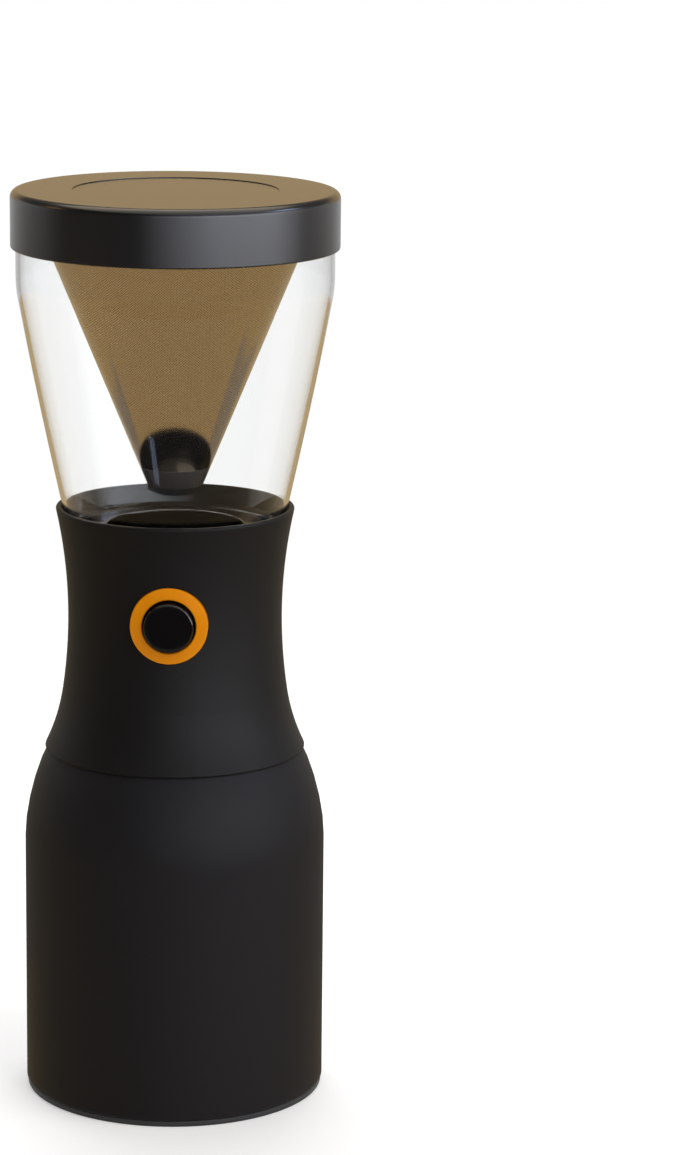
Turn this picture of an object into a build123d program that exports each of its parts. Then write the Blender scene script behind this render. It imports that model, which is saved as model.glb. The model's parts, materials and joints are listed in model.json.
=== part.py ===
from build123d import *
import os
from math import radians, sqrt, tan

os.makedirs("parts", exist_ok=True)

# Cold brew coffee maker: a clear brewing vessel with a hanging cone filter, over a vacuum carafe.
# A push button on the waist opens a valve, and the brew runs down into the carafe.
# Millimetres, +Z up, origin at the bottom centre. The button faces -Y.
# Half sections are drawn on Plane.XZ as (radius, height) and turned about Axis.Z.

# Fits and gaps
running_gap = 0.3       # between pieces of different bodies that pass each other
seat_gap = 0.2          # between fixed pieces that slide together on the bench
rod_fit = 0.05          # radial fit of the push rod and the valve stem
screw_fit = 0.05        # radial fit of a screw in its pilot hole
coil_gap = 0.2          # at each end of a spring

# Carafe: pressed steel, two walls with a vacuum between them
steel_wall = 0.8
vacuum_gap = 3.2
carafe_r = 56.5
carafe_low_z = 2.2      # lower edge of the steel, on the foot pad's rim
base_round = 1.0
shoulder_lean = 28.6    # degrees from upright
shoulder_round = 73.0
throat_round = 38.0
throat_drop = 10.9      # from the ledge down to the shoulder line's upper corner
ledge_z = 161.1
ledge_out = 0.1         # the ledge is a little wider than the socket that stands over it
ledge_round = 0.8
root_round = 1.0
neck_r = 33.5
neck_h = 8.4
liner_base_round = 10.0
liner_throat_round = 14.0
base_lap = 3.5          # steel turned in under the base
pad_gap = 0.3
pad_inset = 0.5         # the pad's rim is a little narrower than the carafe
pad_round = 0.5
getter_r = 8.0
getter_thick = 1.2

# Neck socket, the inner moulding over the carafe neck
socket_lap = 4.0        # wall round the neck
socket_wall = 2.0       # wall round the button's chamber
ceiling_thick = 2.4
neck_seal_thick = 1.5

# Collar, the waisted outer shell
collar_wall = 2.0
rim_flare = 4.6         # beyond the waist
rim_rise = 17.2         # above the rib
rim_round = 0.8
waist_drop = 4.3        # below the button
flare_out = 2.2
flare_drop = 29.0       # below the waist
hem_lap = 1.27          # beyond the shoulder line
hem_drop = 29.3         # below the ledge
hem_round = 0.7
rib_rise = 19.7         # inner rib above the button, clamped by the housing and the socket
rib_gap = 1.2
rib_thick = 2.4

# Valve housing
flange_thick = 2.4
cup_inset = 4.8         # inside the socket
cup_wall = 2.2
cup_floor_rise = 0.2
funnel_h = 5.7
seat_bore_r = 10.5
seat_bore_h = 3.0
tube_r = 12.0
tube_in_r = 9.5
tube_reach = 11.6       # below the carafe's lip
screw_boss_r = 4.0
screw_inset = 4.7       # from the carafe's mouth to the screws
screw_count = 3
first_screw_angle = 90.0

# Screws
screw_r = 1.5
screw_head_r = 2.9
screw_head_h = 1.4
screw_length = 18.0

# Brewing vessel
vessel_wall = 1.5
vessel_floor_thick = 2.6
vessel_seal_thick = 1.5
vessel_seal_inset = 3.0
vessel_seal_width = 5.0
vessel_room = 1.0       # to the collar, at the vessel's foot
vessel_r = 58.7
vessel_swell = 0.5      # bulge of the wall at half height
vessel_bend_h = 92.7
vessel_h = 117.7
bend_round = 40.0
floor_round = 3.0
foot_round = 1.5
lip_round = 0.5

# Clamp ring
clamp_lap = 1.9         # over the vessel's floor
clamp_reach = 3.8       # over the funnel
clamp_flange_thick = 1.7
clamp_round = 0.6
spigot_gap = 0.2
spigot_wall = 1.6
spigot_rise = 0.4       # above the cup's floor

# Button and its bezel
button_rise = 13.8      # above the ceiling
bezel_r = 14.25
bezel_gap = 0.8         # round the button
bezel_proud = 2.2       # beyond the waist
bezel_seat = 1.6        # into the socket's wall
bezel_round = 0.6
button_r = 9.1
button_proud = 2.8      # beyond the bezel
button_wall = 1.7
button_face_thick = 2.8
button_dome = 0.15
button_round = 1.2
button_travel = 5.0
stop_gap = 0.4          # left at the end of the travel
guide_wall_r = 1.6
guide_depth = 11.4
guide_wall = 1.6
post_wall = 1.15
post_length = 6.2
rod_r = 3.0
rod_tip_y = 1.0
ramp_lead = 0.5
valve_lift = 3.0        # the ramp turns the button's travel into this lift
clip_out = 2.0
clip_thick = 0.8
clip_depth = 0.5        # groove in the rod
clip_mouth = 4.0
boss_wall = 3.45
boss_length = 4.5
o_ring_wire = 1.8
o_ring_depth = 2.6
groove_play = 0.2

# Springs
button_coil_r = 5.2
button_wire_r = 0.45
button_turns = 6
valve_coil_r = 4.7
valve_wire_r = 0.3
valve_turns = 3

# Valve
seat_ring_gap = 0.1
seat_ring_wall = 2.8
seat_ring_h = 2.5
spoke_width = 2.0
spoke_h = 1.5
spoke_count = 3
stem_hub_wall = 1.35
stem_hub_drop = 2.5
stem_r = 2.0
stem_neck_r = 1.5
stem_collar_out = 0.5   # beyond the coil's outside
stem_collar_thick = 1.0
stem_collar_rise = 0.6  # above the push rod
stem_head_r = 3.0
stem_head_h = 1.2
plug_gap = 1.5          # flow gap round the plug
plug_h = 4.0
plug_edge_h = 1.6
plug_top_r = 4.0

# Cone filter
cone_sheet = 0.6
cone_room = 7.27        # from the cone's band to the vessel's wall
cone_band_drop = 3.0    # below the vessel's top; above this the sheet is upright
cone_low_r = 13.23
cone_h = 88.5
tip_h = 7.2             # carries the cone's side on downwards
tip_round = 0.4
tip_spigot_h = 4.0
tip_bore_r = 7.5
tip_floor = 2.5
filter_flange_thick = 1.6
filter_seal_thick = 1.0
filter_ring_wall = 1.4
filter_skirt_h = 8.0
filter_skirt_wall = 1.2

# Lid
lid_wall = 1.6
lid_h = 21.1
lid_top_thick = 3.3
lid_round = 2.75
lid_hem_round = 0.7
inlay_r = 38.0
inlay_depth = 0.3
inlay_thick = 1.2
inlay_gap = 0.1
inlay_round = 0.3
liner_disc_thick = 2.0
liner_rib_h = 1.6
lid_seal_width = 6.4
lid_seal_thick = 1.6

# Carafe and neck socket
liner_inset = steel_wall + vacuum_gap
mouth_r = neck_r - liner_inset - steel_wall
socket_in_r = neck_r + running_gap
socket_r = socket_in_r + socket_lap
ledge_r = socket_r + ledge_out
lip_z = ledge_z + neck_h
base_plate_low_z = carafe_low_z + steel_wall
base_hole_r = carafe_r - base_lap
shoulder_angle = radians(shoulder_lean)
shoulder_high_z = ledge_z - throat_drop
shoulder_low_z = shoulder_high_z - (carafe_r - ledge_r) / tan(shoulder_angle)
ceiling_low_z = lip_z + neck_seal_thick
ceiling_z = ceiling_low_z + ceiling_thick
button_z = ceiling_z + button_rise

# Collar
waist_r = socket_r + seat_gap + collar_wall
waist_z = button_z - waist_drop
rib_z = button_z + rib_rise
rim_z = rib_z + rim_rise
flare_z = waist_z - flare_drop
hem_z = ledge_z - hem_drop
hem_r = ledge_r + (shoulder_high_z - hem_z) * tan(shoulder_angle) + hem_lap
upper_arc_r = (rim_flare**2 + (rim_z - waist_z) ** 2) / (2 * rim_flare)

# Valve housing
cup_r = socket_r - cup_inset
cup_in_r = cup_r - cup_wall
cup_floor_z = rib_z + cup_floor_rise
funnel_r = cup_in_r - spigot_gap - spigot_wall
funnel_low_z = cup_floor_z - funnel_h
seat_low_z = funnel_low_z - seat_bore_h
flange_low_z = rib_z + rib_thick
flange_z = flange_low_z + flange_thick
tube_low_z = lip_z - tube_reach
screw_ring_r = mouth_r - screw_inset

# Vessel, filter and lid, stacked on the housing's flange
vessel_low_z = flange_z + vessel_seal_thick
vessel_floor_z = vessel_low_z + vessel_floor_thick
vessel_bend_z = vessel_low_z + vessel_bend_h
vessel_z = vessel_low_z + vessel_h
vessel_in_r = vessel_r - vessel_wall
vessel_hole_r = cup_in_r + seat_gap
filter_flange_low_z = vessel_z + filter_seal_thick
filter_flange_z = filter_flange_low_z + filter_flange_thick
cone_band_r = vessel_in_r - cone_room
cone_band_z = vessel_z - cone_band_drop
cone_low_z = cone_band_z - cone_h
cone_slope = (cone_band_r - cone_low_r) / cone_h
lid_in_r = vessel_r + running_gap
lid_r = lid_in_r + lid_wall
lid_seal_z = filter_flange_z + lid_seal_thick
lid_ceiling_z = lid_seal_z + liner_rib_h + liner_disc_thick
lid_z = lid_ceiling_z + lid_top_thick
lid_low_z = lid_z - lid_h
filter_flange_r = lid_in_r - 2 * running_gap
lid_seal_in_r = filter_flange_r - lid_seal_width

# Button, rod and valve
bezel_front_y = -waist_r - bezel_proud
bezel_back_y = bezel_seat - socket_r
bezel_bore_r = bezel_r + seat_gap
bezel_bore_back_y = -sqrt((socket_r - socket_wall) ** 2 - bezel_bore_r**2)
button_bore_r = button_r + running_gap
guide_front_y = bezel_back_y + seat_gap
guide_back_y = guide_front_y + guide_depth
button_front_y = bezel_front_y - button_proud
button_back_y = guide_back_y - guide_wall - button_travel - stop_gap
rod_bore_r = rod_r + rod_fit
rod_front_y = button_front_y + button_face_thick
clip_front_y = guide_back_y + running_gap
boss_front_y = -tube_r - boss_length
o_ring_y = boss_front_y + o_ring_depth
ramp_slope = valve_lift / button_travel
ramp_top_y = -button_travel - ramp_lead
ramp_top_z = button_z + rod_r
ramp_z = ramp_top_z + ramp_slope * ramp_top_y
foot_z = ramp_z + (stem_r + running_gap) * sqrt(1 + ramp_slope**2)
stem_bore_r = stem_r + rod_fit
stem_collar_r = valve_coil_r + valve_wire_r + stem_collar_out
stem_collar_low_z = ramp_top_z + stem_collar_rise
stem_collar_z = stem_collar_low_z + stem_collar_thick
seat_ring_r = seat_bore_r - seat_ring_gap
seat_lip_z = seat_low_z + seat_ring_h
plug_r = seat_bore_r - plug_gap
plug_bore_r = stem_neck_r + rod_fit
plug_z = seat_lip_z + plug_h
button_plane = Plane(origin=(0, 0, button_z))
button_axis = Axis((0, 0, button_z), (0, 1, 0))


# Radius of the collar's outside above the waist
def collar_radius(z):
    return waist_r + upper_arc_r - sqrt(upper_arc_r**2 - (z - waist_z) ** 2)


flange_r = collar_radius(flange_low_z) - collar_wall - seat_gap
vessel_low_r = collar_radius(vessel_low_z) - collar_wall - vessel_room
vessel_seal_r = vessel_low_r - vessel_seal_inset


# Radius of the vessel's outside, from its foot to its bend
def vessel_radius(z):
    share = (z - vessel_low_z) / vessel_bend_h
    return vessel_low_r + (vessel_r - vessel_low_r) * share + 4 * vessel_swell * share * (1 - share)


# Turns a plain ring about Axis.Z, from low_z to high_z
def turn_ring(inner_r, outer_r, low_z, high_z):
    with BuildSketch(Plane.XZ) as section:
        with Locations(((inner_r + outer_r) / 2, (low_z + high_z) / 2)):
            Rectangle(outer_r - inner_r, high_z - low_z)
    revolve(section.sketch, axis=Axis.Z)


# Turns the carafe's outside, moved inwards by inset (outwards where it is negative)
def turn_carafe_form(inset, corner, top_z, mode):
    shift = inset * tan(shoulder_angle / 2)
    low_z = carafe_low_z + inset
    with BuildSketch(Plane.XZ) as section:
        with BuildLine():
            outline = FilletPolyline(
                (0, low_z),
                (carafe_r - inset, low_z),
                (carafe_r - inset, shoulder_low_z - shift),
                (ledge_r - inset, shoulder_high_z - shift),
                (ledge_r - inset, ledge_z - inset),
                (neck_r - inset, ledge_z - inset),
                (neck_r - inset, top_z),
                radius=[corner, shoulder_round - inset, throat_round + inset, ledge_round, root_round],
            )
            Polyline(outline @ 1, (0, top_z), (0, low_z))
        make_face()
    revolve(section.sketch, axis=Axis.Z, mode=mode)


# Turns the liner's form, which follows the carafe's outside without its ledge
def turn_liner_form(inset, corner, mode):
    shift = inset * tan(shoulder_angle / 2)
    low_z = carafe_low_z + inset
    neck_line_z = shoulder_low_z - shift + (carafe_r - neck_r) / tan(shoulder_angle)
    with BuildSketch(Plane.XZ) as section:
        with BuildLine():
            outline = FilletPolyline(
                (0, low_z),
                (carafe_r - inset, low_z),
                (carafe_r - inset, shoulder_low_z - shift),
                (neck_r - inset, neck_line_z),
                (neck_r - inset, lip_z),
                radius=[corner, shoulder_round - inset, liner_throat_round + inset],
            )
            Polyline(outline @ 1, (0, lip_z), (0, low_z))
        make_face()
    revolve(section.sketch, axis=Axis.Z, mode=mode)


# Turns the vessel's outside, moved inwards by inset, from low_z up to its top
def turn_vessel_form(inset, corner, low_z, mode):
    mid_z = (low_z + vessel_bend_z) / 2
    with BuildSketch(Plane.XZ) as section:
        with BuildLine():
            wall = ThreePointArc(
                (vessel_radius(low_z) - inset, low_z),
                (vessel_radius(mid_z) - inset, mid_z),
                (vessel_r - inset, vessel_bend_z),
            )
            Polyline(wall @ 1, (vessel_r - inset, vessel_z), (0, vessel_z), (0, low_z), wall @ 0)
        make_face()
        fillet(section.vertices().sort_by_distance(wall @ 0)[0], corner)
        fillet(section.vertices().sort_by_distance(wall @ 1)[0], bend_round - inset)
    revolve(section.sketch, axis=Axis.Z, mode=mode)


# Draws one side of the collar's waist, moved inwards by inset, and closes it to the axis
def turn_collar_form(inset, mode):
    with BuildSketch(Plane.XZ) as section:
        with BuildLine():
            waist = (waist_r - inset, waist_z)
            upper = TangentArc(waist, (waist_r + rim_flare - inset, rim_z), tangent=(0, 1))
            lower = TangentArc(waist, (waist_r + flare_out - inset, flare_z), tangent=(0, -1))
            hem = TangentArc(lower @ 1, (hem_r - inset, hem_z), tangent=lower % 1)
            Polyline(upper @ 1, (0, rim_z), (0, hem_z), hem @ 1)
        make_face()
    revolve(section.sketch, axis=Axis.Z, mode=mode)


# A plane at depth y that faces the back, so that extrude runs towards +Y
def facing_back(y):
    return Plane(origin=(0, y, button_z), x_dir=(1, 0, 0), z_dir=(0, 1, 0))


# Winds a spring of round wire that stands on base and fills the room above it
def wind_spring(base, coil_r, wire_r, turns, room):
    height = room - 2 * (wire_r + coil_gap)
    start = base.offset(wire_r + coil_gap)
    with BuildLine() as coil:
        Helix(height / turns, height, coil_r, center=start.origin, direction=start.z_dir)
    with BuildSketch(Plane(origin=coil.line @ 0, z_dir=coil.line % 0)) as section:
        Circle(wire_r)
    sweep(section.sketch, path=coil.line, is_frenet=True)


# ---------------- Carafe ----------------

with BuildPart() as carafe_outer_shell:
    turn_carafe_form(0, base_round, lip_z - steel_wall, Mode.ADD)
    turn_carafe_form(steel_wall, base_round - steel_wall, lip_z - steel_wall, Mode.SUBTRACT)
    with BuildSketch(Plane.XY.offset(carafe_low_z)):
        Circle(base_hole_r)
    extrude(amount=steel_wall, mode=Mode.SUBTRACT)
carafe_outer_shell.part.label = "carafe_outer_shell"
export_step(carafe_outer_shell.part, "parts/carafe_outer_shell.step")

# The liner's lip lies on the outer wall's top edge, where the two are welded
with BuildPart() as carafe_liner:
    turn_liner_form(liner_inset, liner_base_round, Mode.ADD)
    turn_ring(mouth_r, neck_r, lip_z - steel_wall, lip_z)
    turn_liner_form(liner_inset + steel_wall, liner_base_round - steel_wall, Mode.SUBTRACT)
carafe_liner.part.label = "carafe_liner"
export_step(carafe_liner.part, "parts/carafe_liner.step")

with BuildPart() as carafe_base_plate:
    plate_r = carafe_r - base_round
    turn_ring(0, plate_r, base_plate_low_z, base_plate_low_z + steel_wall)
carafe_base_plate.part.label = "carafe_base_plate"
export_step(carafe_base_plate.part, "parts/carafe_base_plate.step")

with BuildPart() as carafe_getter:
    getter_low_z = base_plate_low_z + steel_wall
    turn_ring(0, getter_r, getter_low_z, getter_low_z + getter_thick)
carafe_getter.part.label = "carafe_getter"
export_step(carafe_getter.part, "parts/carafe_getter.step")

# The pad fills the hole in the base, and its rim lies under the steel's lower edge
with BuildPart() as carafe_foot_pad:
    turn_ring(0, carafe_r - pad_inset, 0, carafe_low_z)
    fillet(carafe_foot_pad.edges().group_by(Axis.Z)[0], pad_round)
    turn_ring(0, base_hole_r - pad_gap, pad_round, base_plate_low_z)
carafe_foot_pad.part.label = "carafe_foot_pad"
export_step(carafe_foot_pad.part, "parts/carafe_foot_pad.step")

# ---------------- Brewer ----------------

with BuildPart() as neck_seal:
    turn_ring(mouth_r, neck_r, lip_z, ceiling_low_z)
neck_seal.part.label = "neck_seal"
export_step(neck_seal.part, "parts/neck_seal.step")

with BuildPart() as collar:
    turn_collar_form(0, Mode.ADD)
    fillet(collar.edges().filter_by(GeomType.CIRCLE).group_by(Axis.Z)[-1], rim_round)
    fillet(collar.edges().filter_by(GeomType.CIRCLE).group_by(Axis.Z)[0], hem_round)
    turn_collar_form(collar_wall, Mode.SUBTRACT)
    turn_ring(cup_r + rib_gap, collar_radius(rib_z) - collar_wall / 2, rib_z, flange_low_z)
    turn_carafe_form(-running_gap, base_round, lip_z, Mode.SUBTRACT)
    with BuildSketch(facing_back(bezel_front_y)):
        Circle(bezel_bore_r)
    extrude(amount=bezel_bore_back_y - bezel_front_y, mode=Mode.SUBTRACT)
collar.part.label = "collar"
export_step(collar.part, "parts/collar.step")

with BuildPart() as neck_socket:
    turn_ring(socket_in_r, socket_r, ledge_z + running_gap, ceiling_low_z)
    turn_ring(tube_r + seat_gap, socket_r, ceiling_low_z, ceiling_z)
    turn_ring(socket_r - socket_wall, socket_r, ceiling_z, rib_z)
    with BuildSketch(facing_back(bezel_front_y)):
        Circle(bezel_bore_r)
    extrude(amount=bezel_bore_back_y - bezel_front_y, mode=Mode.SUBTRACT)
    with BuildSketch(Plane.XY.offset(ceiling_low_z)):
        with PolarLocations(screw_ring_r, screw_count, start_angle=first_screw_angle):
            Circle(screw_head_r + seat_gap)
    extrude(amount=screw_head_h, mode=Mode.SUBTRACT)
    with BuildSketch(Plane.XY.offset(ceiling_low_z)):
        with PolarLocations(screw_ring_r, screw_count, start_angle=first_screw_angle):
            Circle(screw_r + seat_gap)
    extrude(amount=ceiling_thick, mode=Mode.SUBTRACT)
neck_socket.part.label = "neck_socket"
export_step(neck_socket.part, "parts/neck_socket.step")

with BuildPart() as valve_housing:
    turn_ring(0, flange_r, flange_low_z, flange_z)
    with BuildSketch(Plane.XZ):
        with BuildLine():
            Polyline(
                (0, seat_low_z),
                (tube_r, seat_low_z),
                (cup_r, cup_floor_z - cup_wall),
                (cup_r, flange_low_z),
                (0, flange_low_z),
                close=True,
            )
        make_face()
    revolve(axis=Axis.Z)
    turn_ring(0, tube_r, tube_low_z, seat_low_z)
    with BuildSketch(Plane.XY.offset(ceiling_z)):
        with PolarLocations(screw_ring_r, screw_count, start_angle=first_screw_angle):
            Circle(screw_boss_r)
    extrude(amount=cup_floor_z - ceiling_z)
    with BuildSketch(facing_back(boss_front_y)):
        Circle(rod_bore_r + boss_wall)
    extrude(amount=-boss_front_y)
    # The wet way: cup, funnel, seat bore and outlet tube
    with BuildSketch(Plane.XZ):
        with BuildLine():
            Polyline(
                (0, tube_low_z),
                (tube_in_r, tube_low_z),
                (tube_in_r, seat_low_z),
                (seat_bore_r, seat_low_z),
                (seat_bore_r, funnel_low_z),
                (funnel_r, cup_floor_z),
                (cup_in_r, cup_floor_z),
                (cup_in_r, flange_z),
                (0, flange_z),
                close=True,
            )
        make_face()
    revolve(axis=Axis.Z, mode=Mode.SUBTRACT)
    with BuildSketch(Plane.XY.offset(ceiling_z)):
        with PolarLocations(screw_ring_r, screw_count, start_angle=first_screw_angle):
            Circle(screw_r + screw_fit)
    extrude(amount=screw_length, mode=Mode.SUBTRACT)
    with BuildSketch(facing_back(boss_front_y)):
        Circle(rod_bore_r)
    extrude(amount=-boss_front_y, mode=Mode.SUBTRACT)
    with BuildSketch(facing_back(o_ring_y - o_ring_wire / 2 - groove_play)):
        Circle(rod_bore_r + o_ring_wire + groove_play)
    extrude(amount=o_ring_wire + 2 * groove_play, mode=Mode.SUBTRACT)
valve_housing.part.label = "valve_housing"
export_step(valve_housing.part, "parts/valve_housing.step")

with BuildPart() as housing_screws:
    with BuildSketch(Plane.XY.offset(ceiling_low_z)):
        with PolarLocations(screw_ring_r, screw_count, start_angle=first_screw_angle):
            Circle(screw_head_r)
    extrude(amount=screw_head_h)
    with BuildSketch(Plane.XY.offset(ceiling_low_z + screw_head_h)):
        with PolarLocations(screw_ring_r, screw_count, start_angle=first_screw_angle):
            Circle(screw_r)
    extrude(amount=screw_length - screw_head_h)
housing_screws.part.label = "housing_screws"
export_step(housing_screws.part, "parts/housing_screws.step")

with BuildPart() as vessel_seal:
    turn_ring(vessel_seal_r - vessel_seal_width, vessel_seal_r, flange_z, vessel_low_z)
vessel_seal.part.label = "vessel_seal"
export_step(vessel_seal.part, "parts/vessel_seal.step")

with BuildPart() as vessel:
    turn_vessel_form(0, foot_round, vessel_low_z, Mode.ADD)
    turn_vessel_form(vessel_wall, floor_round, vessel_floor_z, Mode.SUBTRACT)
    with BuildSketch(Plane.XY.offset(vessel_low_z)):
        Circle(vessel_hole_r)
    extrude(amount=vessel_floor_thick, mode=Mode.SUBTRACT)
    fillet(vessel.edges().filter_by(GeomType.CIRCLE).group_by(Axis.Z)[-1], lip_round)
vessel.part.label = "vessel"
export_step(vessel.part, "parts/vessel.step")

with BuildPart() as clamp_ring:
    clamp_z = vessel_floor_z + clamp_flange_thick
    turn_ring(funnel_r - clamp_reach, vessel_hole_r + clamp_lap, vessel_floor_z, clamp_z)
    fillet(clamp_ring.edges().filter_by(GeomType.CIRCLE).group_by(Axis.Z)[-1], clamp_round)
    turn_ring(funnel_r, cup_in_r - spigot_gap, cup_floor_z + spigot_rise, vessel_floor_z)
clamp_ring.part.label = "clamp_ring"
export_step(clamp_ring.part, "parts/clamp_ring.step")

with BuildPart() as valve_seat:
    spoke_length = seat_ring_r - seat_ring_wall / 2
    turn_ring(seat_ring_r - seat_ring_wall, seat_ring_r, seat_low_z, seat_lip_z)
    with BuildSketch(Plane.XY.offset(seat_low_z)):
        with PolarLocations(spoke_length / 2, spoke_count):
            Rectangle(spoke_length, spoke_width)
    extrude(amount=spoke_h)
    hub_low_z = seat_low_z - stem_hub_drop
    turn_ring(0, stem_bore_r + stem_hub_wall, hub_low_z, seat_low_z + spoke_h)
    with BuildSketch(Plane.XY.offset(hub_low_z)):
        Circle(stem_bore_r)
    extrude(amount=seat_lip_z - hub_low_z, mode=Mode.SUBTRACT)
valve_seat.part.label = "valve_seat"
export_step(valve_seat.part, "parts/valve_seat.step")

with BuildPart() as button_bezel:
    with BuildSketch(facing_back(bezel_front_y)):
        Circle(bezel_r)
        Circle(button_r + bezel_gap, mode=Mode.SUBTRACT)
    extrude(amount=bezel_back_y - bezel_front_y)
    fillet(button_bezel.edges().group_by(Axis.Y)[0], bezel_round)
button_bezel.part.label = "button_bezel"
export_step(button_bezel.part, "parts/button_bezel.step")

with BuildPart() as button_guide:
    with BuildSketch(facing_back(guide_front_y)):
        Circle(button_bore_r + guide_wall_r)
    extrude(amount=guide_back_y - guide_front_y)
    with BuildSketch(facing_back(guide_front_y)):
        Circle(button_bore_r)
    extrude(amount=guide_back_y - guide_front_y - guide_wall, mode=Mode.SUBTRACT)
    with BuildSketch(facing_back(guide_front_y)):
        Circle(rod_bore_r)
    extrude(amount=guide_back_y - guide_front_y, mode=Mode.SUBTRACT)
button_guide.part.label = "button_guide"
export_step(button_guide.part, "parts/button_guide.step")

with BuildPart(Plane(origin=(0, o_ring_y, button_z), z_dir=(0, 1, 0))) as rod_seal:
    Torus(rod_bore_r + o_ring_wire / 2, o_ring_wire / 2)
rod_seal.part.label = "rod_seal"
export_step(rod_seal.part, "parts/rod_seal.step")

# ---------------- Button ----------------

# The front is slightly domed, and the hollow back holds the spring round a post
with BuildPart() as button_cap:
    with BuildSketch(button_plane):
        with BuildLine():
            dome = TangentArc((0, button_front_y - button_dome), (button_r, button_front_y), tangent=(1, 0))
            Polyline(
                dome @ 1,
                (button_r, button_back_y),
                (button_r - button_wall, button_back_y),
                (button_r - button_wall, rod_front_y),
                (rod_bore_r + post_wall, rod_front_y),
                (rod_bore_r + post_wall, rod_front_y + post_length),
                (rod_bore_r, rod_front_y + post_length),
                (rod_bore_r, rod_front_y),
                (0, rod_front_y),
                dome @ 0,
            )
        make_face()
    revolve(axis=button_axis)
    side = button_cap.faces().filter_by(GeomType.CYLINDER).sort_by(SortBy.AREA)[-1]
    fillet(side.edges().filter_by(GeomType.CIRCLE).sort_by(Axis.Y)[0], button_round)
button_cap.part.label = "button_cap"
export_step(button_cap.part, "parts/button_cap.step")

with BuildPart() as push_rod:
    with BuildSketch(facing_back(rod_front_y)):
        Circle(rod_r)
    extrude(amount=rod_tip_y - rod_front_y)
    with BuildSketch(facing_back(clip_front_y)):
        Circle(rod_r)
        Circle(rod_r - clip_depth, mode=Mode.SUBTRACT)
    extrude(amount=clip_thick, mode=Mode.SUBTRACT)
    with BuildSketch(Plane.YZ):
        with BuildLine():
            Polyline(
                (ramp_top_y, ramp_top_z),
                (rod_tip_y, ramp_top_z - ramp_slope * (rod_tip_y - ramp_top_y)),
                (rod_tip_y, ramp_top_z),
                close=True,
            )
        make_face()
    extrude(amount=rod_r, both=True, mode=Mode.SUBTRACT)
push_rod.part.label = "push_rod"
export_step(push_rod.part, "parts/push_rod.step")

with BuildPart() as rod_clip:
    with BuildSketch(facing_back(clip_front_y)):
        Circle(rod_r + clip_out)
        Circle(rod_bore_r - clip_depth, mode=Mode.SUBTRACT)
        with Locations((0, rod_r)):
            Rectangle(clip_mouth, 2 * rod_r, mode=Mode.SUBTRACT)
    extrude(amount=clip_thick)
rod_clip.part.label = "rod_clip"
export_step(rod_clip.part, "parts/rod_clip.step")

with BuildPart() as button_spring:
    spring_room = guide_back_y - guide_wall - rod_front_y
    wind_spring(facing_back(rod_front_y), button_coil_r, button_wire_r, button_turns, spring_room)
button_spring.part.label = "button_spring"
export_step(button_spring.part, "parts/button_spring.step")

# ---------------- Valve ----------------

# The round foot rides on the push rod's ramp
with BuildPart() as valve_stem:
    with BuildSketch(Plane.XZ):
        with BuildLine():
            foot = TangentArc((0, foot_z - stem_r), (stem_r, foot_z), tangent=(1, 0))
            Polyline(
                foot @ 1,
                (stem_r, stem_collar_low_z),
                (stem_collar_r, stem_collar_low_z),
                (stem_collar_r, stem_collar_z),
                (stem_r, stem_collar_z),
                (stem_r, seat_lip_z),
                (stem_neck_r, seat_lip_z),
                (stem_neck_r, plug_z),
                (stem_head_r, plug_z),
                (stem_head_r, plug_z + stem_head_h),
                (0, plug_z + stem_head_h),
                foot @ 0,
            )
        make_face()
    revolve(axis=Axis.Z)
valve_stem.part.label = "valve_stem"
export_step(valve_stem.part, "parts/valve_stem.step")

with BuildPart() as valve_plug:
    with BuildSketch(Plane.XZ):
        with BuildLine():
            Polyline(
                (plug_bore_r, seat_lip_z),
                (plug_r, seat_lip_z),
                (plug_r, seat_lip_z + plug_edge_h),
                (plug_top_r, plug_z),
                (plug_bore_r, plug_z),
                close=True,
            )
        make_face()
    revolve(axis=Axis.Z)
valve_plug.part.label = "valve_plug"
export_step(valve_plug.part, "parts/valve_plug.step")

with BuildPart() as valve_spring:
    spring_room = seat_low_z - stem_collar_z
    wind_spring(Plane.XY.offset(stem_collar_z), valve_coil_r, valve_wire_r, valve_turns, spring_room)
valve_spring.part.label = "valve_spring"
export_step(valve_spring.part, "parts/valve_spring.step")

# ---------------- Filter ----------------

with BuildPart() as filter_cone:
    sheet = cone_sheet * sqrt(1 + cone_slope**2)
    with BuildSketch(Plane.XZ):
        with BuildLine():
            Polyline(
                (cone_low_r - sheet, cone_low_z),
                (cone_low_r, cone_low_z),
                (cone_band_r, cone_band_z),
                (cone_band_r, filter_flange_z),
                (cone_band_r - cone_sheet, filter_flange_z),
                (cone_band_r - cone_sheet, cone_band_z),
                close=True,
            )
        make_face()
    revolve(axis=Axis.Z)
filter_cone.part.label = "filter_cone"
export_step(filter_cone.part, "parts/filter_cone.step")

with BuildPart() as filter_tip:
    tip_low_z = cone_low_z - tip_h
    spigot_low_r = cone_low_r - sheet - seat_gap / 2
    with BuildSketch(Plane.XZ):
        with BuildLine():
            side = FilletPolyline(
                (0, tip_low_z),
                (cone_low_r - cone_slope * tip_h, tip_low_z),
                (cone_low_r, cone_low_z),
                radius=tip_round,
            )
            Polyline(
                side @ 1,
                (spigot_low_r, cone_low_z),
                (spigot_low_r + cone_slope * tip_spigot_h, cone_low_z + tip_spigot_h),
                (tip_bore_r, cone_low_z + tip_spigot_h),
                (tip_bore_r, tip_low_z + tip_floor),
                (0, tip_low_z + tip_floor),
                side @ 0,
            )
        make_face()
    revolve(axis=Axis.Z)
filter_tip.part.label = "filter_tip"
export_step(filter_tip.part, "parts/filter_tip.step")

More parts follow.
